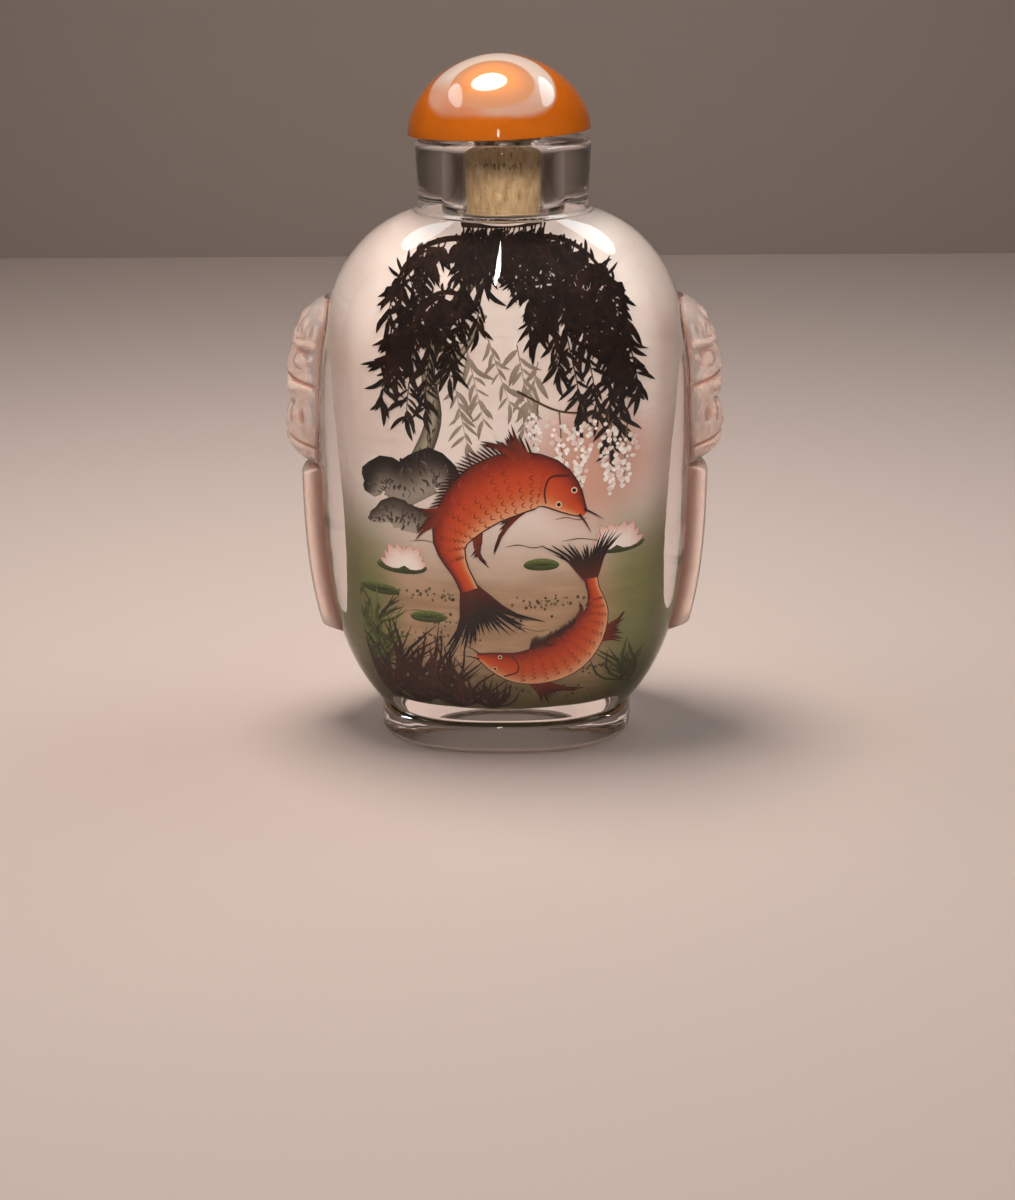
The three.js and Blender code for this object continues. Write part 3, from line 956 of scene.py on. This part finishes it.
def paint_willow(blades, paint):
    """A leaning trunk and its boughs, with two curtains of leaves in front of a paler growth."""
    willow = PaintedFace(blades, 11)
    dice = willow.dice
    willow.draw(WASH, TRUNK, shaped_reach(1.15, 0.95, 0.8, 0.75, 0.6), across(*TRUNK_TINTS), 1)
    fork = [(-8.6, 47), (-5.0, 51), (-2.2, 55.5)]
    willow.draw(WASH, fork, shaped_reach(0.5, 0.42, 0.3), across(*TRUNK_TINTS), 1)
    bark = spline(TRUNK[:4])
    for _ in range(46):
        at = follow(bark, dice.uniform(0, 0.9))[0] + (willow.stray(0.6), 0)
        willow.leaf(at, willow.stray(0.3), dice.uniform(0.5, 1.3), 0.08, 2, along("#241b15", "#4c4338"))
    for x, z, sway, drop in PALE_TWIGS:
        willow.twig(hanging(x, z, sway, drop), 0.07, int(drop * 1.6), 3.0, 0,
                    stem=("#8f8276", "#a59688"), leaf_tint=along("#a39486", "#857768"))
    willow.branch([(-2.6, 61.2), (3, 62.4), (8.4, 61.2), (12.4, 57.8)], 0.5, 0.12, 2)
    willow.branch([(-5.6, 56.4), (-9.4, 57.6), (-12.8, 54.2)], 0.35, 0.1, 2)
    for points, washes, count, drops in BOUGHS:
        willow.branch(points, 0.3, 0.1, 2)
        curve = spline(points)
        for k in range(washes):  # short ink washes that darken the leaves
            x, z = follow(curve, (k + dice.random()) / washes)[0]
            way = [(x - 1.4, z - 1.5), (x, z - 0.9), (x + 1.4, z - 1.5)]
            willow.draw(WASH, way, shaped_reach(0.1, 0.6, 0.5, 0.8, 0.1), along(dice.choice(INK)), 2.5)
        for k in range(count):
            x, z = follow(curve, (k + dice.random()) / count)[0]
            drop, sway = dice.uniform(*drops), dice.uniform(-1.6, 1.6) + 0.06 * x
            willow.twig(hanging(x, z, sway, drop, 0.4), 0.09, int(drop * 2.3), 2.9, 3)
            if z < UNDER_CEILING:
                lean, short = math.pi + willow.stray(1.3), 0.3 if z > NEAR_CEILING else 1.0
                willow.leaf((x, z), lean, short * dice.uniform(0.9, 1.5), dice.uniform(0.16, 0.24), 3)
    for x, z, sway, drop in CURTAIN_TWIGS:
        way = [(x + sway * a, z - drop * b) for a, b in ((0, 0), (0.25, 0.35), (0.8, 0.75), (1, 1))]
        willow.twig(way, 0.1, int(drop * 2.1), 3.4, 5, fill=0.93)
    willow.finish("painted_willow", paint)


def paint_pond(blades, paint):
    """Stones at the left, white racemes at the right, and below them a pond with two carp."""
    pond = PaintedFace(blades, 23)
    for stone in STONES:
        pond.rock(*stone)
    for raceme in RACEMES:
        pond.raceme(*raceme, 6)
    pond.branch([(1.5, 46.5), (6.5, 44.0), (12, 43.4), (16, 40.9)], 0.16, 0.07, 5, ("#5b4632", "#3d2c20"))
    pond.carp([(9.6, 31.0), (4.6, 35.2), (-2.2, 33.8), (-6.6, 28.0), (-4.4, 21.4)], 3.4, 10)
    pond.carp([(-3.6, 12.6), (2.0, 10.9), (7.8, 12.8), (11.0, 17.8), (10.4, 22.6)], 2.35, 10, back=1)
    for pad in PADS:
        pond.pad(*pad, 3)
    pond.lotus((13.4, 26.6), 3.0, 7)
    pond.lotus((-12.2, 24.2), 2.8, 7)
    for cluster in SPECKS:
        pond.specks(*cluster, 36, 0.2)
    for ripple in RIPPLES:
        pond.ripple(*ripple, 1)
    for tuft in GRASS:
        pond.tuft(*tuft, 0.95, 6, GRASS_TINTS)
    for x, z in ((-15.3, 10.5), (-14.6, 13.0), (-15.8, 16.0)):
        pond.tuft(x, z, 24, 4.6, 1.0, 5, GREEN_TINTS, 0.16)
    pond.tuft(14.6, 7.6, 26, 6.4, 0.8, 5, ("#3a4420", "#4a4a26", "#2c2a18"), 0.16)
    pond.finish("painted_pond", paint)


def paint_back(blades, paint):
    """The plainer face: a few hanging twigs, one flower with its leaves, and grass."""
    back = PaintedFace(blades, 37)
    back.branch([(15.5, 53), (10, 57.5), (2, 60), (-6, 60.5)], 0.6, 0.2, 2)
    for k in range(18):
        x = mix(13.0, -11.0, (k + back.dice.random()) / 18)
        drop = back.dice.uniform(6, 17) * (0.55 + 0.03 * abs(x))
        sway, top = back.stray(2.5), 62.6 - 0.028 * x * x
        back.twig(hanging(x, top, sway, drop, 0.3), 0.1, int(drop * 1.8), 3.3, 4)
    for pad in ((-8.0, 20.0, 3.6), (-3.0, 16.5, 3.0), (-12.5, 16.0, 2.6), (9.5, 24.0, 2.2)):
        back.pad(*pad, 3)
    back.lotus((-7.4, 20.6), 4.2, 7)
    for cluster in ((4, 18, 4.4, 0.5), (-2, 11.4, 5.0, 0.5), (8, 13, 3.4, 0.5)):
        back.specks(*cluster, 30, 0.22, SILT[:3])
    for tuft in ((13, 6.5, 30, 9), (9.5, 5.2, 32, 7.5), (5.5, 4.8, 22, 5.5)):
        back.tuft(*tuft, 0.9, 6)
    back.finish("painted_back", paint, back=True)


# ---------------------------------------------------------------- the pieces
def make_glass():
    """The clear bottle, with a second finish on its carved faces and a value in their grooves."""
    rings = foot_rings() + body_rings() + neck_rings() + bore_rings() + cavity_rings()
    glass = flattened("glass_bottle", rings)
    x, y, z = np.abs(vertex_places(glass.data).T / MM)
    step = GROOVE.step
    near = ((-step, 0), (step, 0), (0, -step), (0, step))
    around = sum(carving_height(np.abs(y + a), z + b) for a, b in near) / 4
    hollow = np.clip((around - carving_height(y, z)) * GROOVE.gain, 0, 1)
    hollow = np.where(x > GROOVE.beyond, hollow, 0).astype(np.float32)
    glass.data.attributes.new("hollow", "FLOAT", "POINT").data.foreach_set("value", hollow)
    finish_piece(glass, clear_glass(), "glass", "bottle")
    glass.data.materials.append(carved_glass())
    centres = np.empty(len(glass.data.polygons) * 3)
    glass.data.polygons.foreach_get("center", centres)
    x, y, z = np.abs(centres.reshape(-1, 3).T / MM)
    across = np.where(z < MASK.bottom, np.maximum(y - GROUND.strap_edge, 0), y)
    carved = (x > GROUND.beyond) & (carving_height(across, z) > GROUND.rise)
    glass.data.polygons.foreach_set("material_index", carved.astype(np.int32))


def make_lining():
    """The frosted inner wall: a thin closed coat that lies just inside the glass."""
    outside, inside = (cavity_rings(depth) for depth in LINING)
    finish_piece(flattened("painted_lining", outside[::-1] + inside), inner_paint(), "painting")


def make_top():
    """Domed agate top, sitting a little askew on the rim."""
    radius, rise, edge, tilt = DOME.radius, DOME.rise, DOME.edge, math.radians(DOME.tilt)
    outline = [(0, 0)] + [(r, 0) for r in spread(0.8, radius - edge, 8)]
    heights = [0.004, 0.012, 0.025, 0.04] + spread(0.06, 0.9, 30) + [0.93, 0.955, 0.975, 0.988, 0.996]
    outline += [(radius * (1 - u**1.85) ** 0.53, rise * u) for u in heights] + [(0, rise)]
    top = turn_on_lathe("agate_top", outline, 128)
    x, y, z = (vertex_places(top.data) / MM).T
    out = x * math.cos(tilt) - z * math.sin(tilt) + DOME.shift
    up = z * math.cos(tilt) + x * math.sin(tilt) + (RIM + GAP + radius * math.sin(tilt))
    place_vertices(top.data, np.stack([out, y, up], axis=1) * MM)
    finish_piece(top, agate(), "agate", "stopper_top")


def make_cork():
    """Cork plug with small dents in its side."""
    tip, chamfer = CORK.tip, CORK.chamfer
    foot, head, wide = CORK_LOW.z, CORK_HIGH.z, BORE.radius - GAP
    outline = [(0, foot)] + [(tip * s, foot) for s in (0.3, 0.6, 0.85)] + [(tip - chamfer, foot)]
    outline += [(mix(tip, wide, u), mix(foot + chamfer, head - chamfer, u)) for u in spread(0, 1, 44)]
    outline += [(wide - chamfer, head), (wide * 0.5, head), (0, head)]
    plug = turn_on_lathe("cork_plug", outline, 112)
    places = vertex_places(plug.data) / MM
    dice = random.Random(5)
    dents = np.zeros(len(places))
    angle = np.arctan2(places[:, 1], places[:, 0])
    for _ in range(DENTS):
        at, z = dice.uniform(-math.pi, math.pi), dice.uniform(foot + 0.6, head - 0.6)
        wide_by, tall_by = dice.uniform(0.03, 0.07), dice.uniform(0.15, 0.5)
        off = (angle - at + math.pi) % (2 * math.pi) - math.pi
        deep = dice.uniform(0.04, 0.16)
        dents += deep * np.exp(-((off / wide_by) ** 2) - ((places[:, 2] - z) / tall_by) ** 2)
    shrink = 1 - np.clip(dents, 0, 0.3) / np.maximum(np.hypot(places[:, 0], places[:, 1]), 3.5)
    places[:, :2] *= shrink[:, None]
    place_vertices(plug.data, places * MM)
    finish_piece(plug, cork_bark(), "cork", "stopper_cork")


def sheet(name, finish, code, rough, place, turn=0.0):
    bpy.ops.mesh.primitive_plane_add(size=SHEET_SIZE, location=place, rotation=(turn, 0, 0))
    plane = bpy.context.object
    plane.name = name
    plane.data.materials.append(Finish(finish).set(Base_Color=code, Roughness=rough).material)
    return plane


def make_stage():
    floor = sheet("floor", "pale_floor", "#e2ccc1", 0.8, (0, 0, -0.03 * MM))
    wall = sheet("backdrop", "grey_backdrop", "#b8a89d", 0.95, (0, 0.363, 4), math.pi / 2)


def area_light(name, place, target, size, power, tint, shape="ELLIPSE", mirrored=True):
    """A soft lamp; with mirrored off it lights the pieces without showing on their polish."""
    data = bpy.data.lights.new(name, "AREA")
    data.shape, data.size, data.size_y = shape, size[0], size[1]
    data.energy, data.color = power, tint
    light = bpy.data.objects.new(name, data)
    light.location = place
    light.rotation_euler = (Vector(target) - Vector(place)).to_track_quat("-Z", "Y").to_euler()
    light.visible_glossy = mirrored
    bpy.context.scene.collection.objects.link(light)
    return light


def make_lights():
    world = bpy.data.worlds.new("studio")
    world.use_nodes = True
    sky = world.node_tree.nodes["Background"].inputs
    sky[0].default_value, sky[1].default_value = SKY_TINT, SKY_STRENGTH
    bpy.context.scene.world = world
    bpy.context.scene.view_settings.view_transform = "Standard"
    area_light("lamp", (-0.031, 0.025, 0.27), (-0.02, -0.02, 0), (0.1, 0.1), 0.46, (1, 0.93, 0.87), "DISK")
    fill = area_light("front_fill", (0, -0.3, 0.37), (0, 0, 0.05), (0.42, 0.16), 4.5, (1, 0.95, 0.91),
                      "RECTANGLE", mirrored=False)
    bottle = bpy.data.collections.new("bottle_pieces")
    for piece in PIECES:
        bottle.objects.link(piece)
    fill.light_linking.receiver_collection = bottle
    # three strips that show as streaks on the glass: down its front and along its two shoulders
    area_light("front_strip", (-0.006, -0.26, 0.131), (0, 0, 0.06), (0.0045, 0.076), 0.038, (1, 0.98, 0.96))
    area_light("right_strip", (0.21, 0.077, 0.333), (0.008, -0.009, 0.065), (0.28, 0.085), 0.34,
               (0.78, 0.92, 1))
    area_light("left_strip", (-0.21, 0.037, 0.341), (-0.008, -0.009, 0.065), (0.24, 0.075), 0.24,
               (0.82, 0.93, 1))


def make_camera():
    data = bpy.data.cameras.new("view")
    data.lens, data.sensor_width = CAMERA.lens, CAMERA.film
    camera = bpy.data.objects.new("view", data)
    camera.location = [value * MM for value in CAMERA.place]
    tilt = Euler((math.radians(90 - CAMERA.down), 0, 0)).to_quaternion()
    camera.rotation_mode = "QUATERNION"
    camera.rotation_quaternion = tilt @ Quaternion((0, 0, 1), math.radians(CAMERA.roll))
    bpy.context.scene.collection.objects.link(camera)
    bpy.context.scene.camera = camera


make_stage()
make_camera()
make_glass()
make_lining()
brushes, paint = make_blades(), ink_and_colour()
paint_willow(brushes, paint)
paint_pond(brushes, paint)
paint_back(brushes, paint)
make_top()
make_cork()
make_lights()
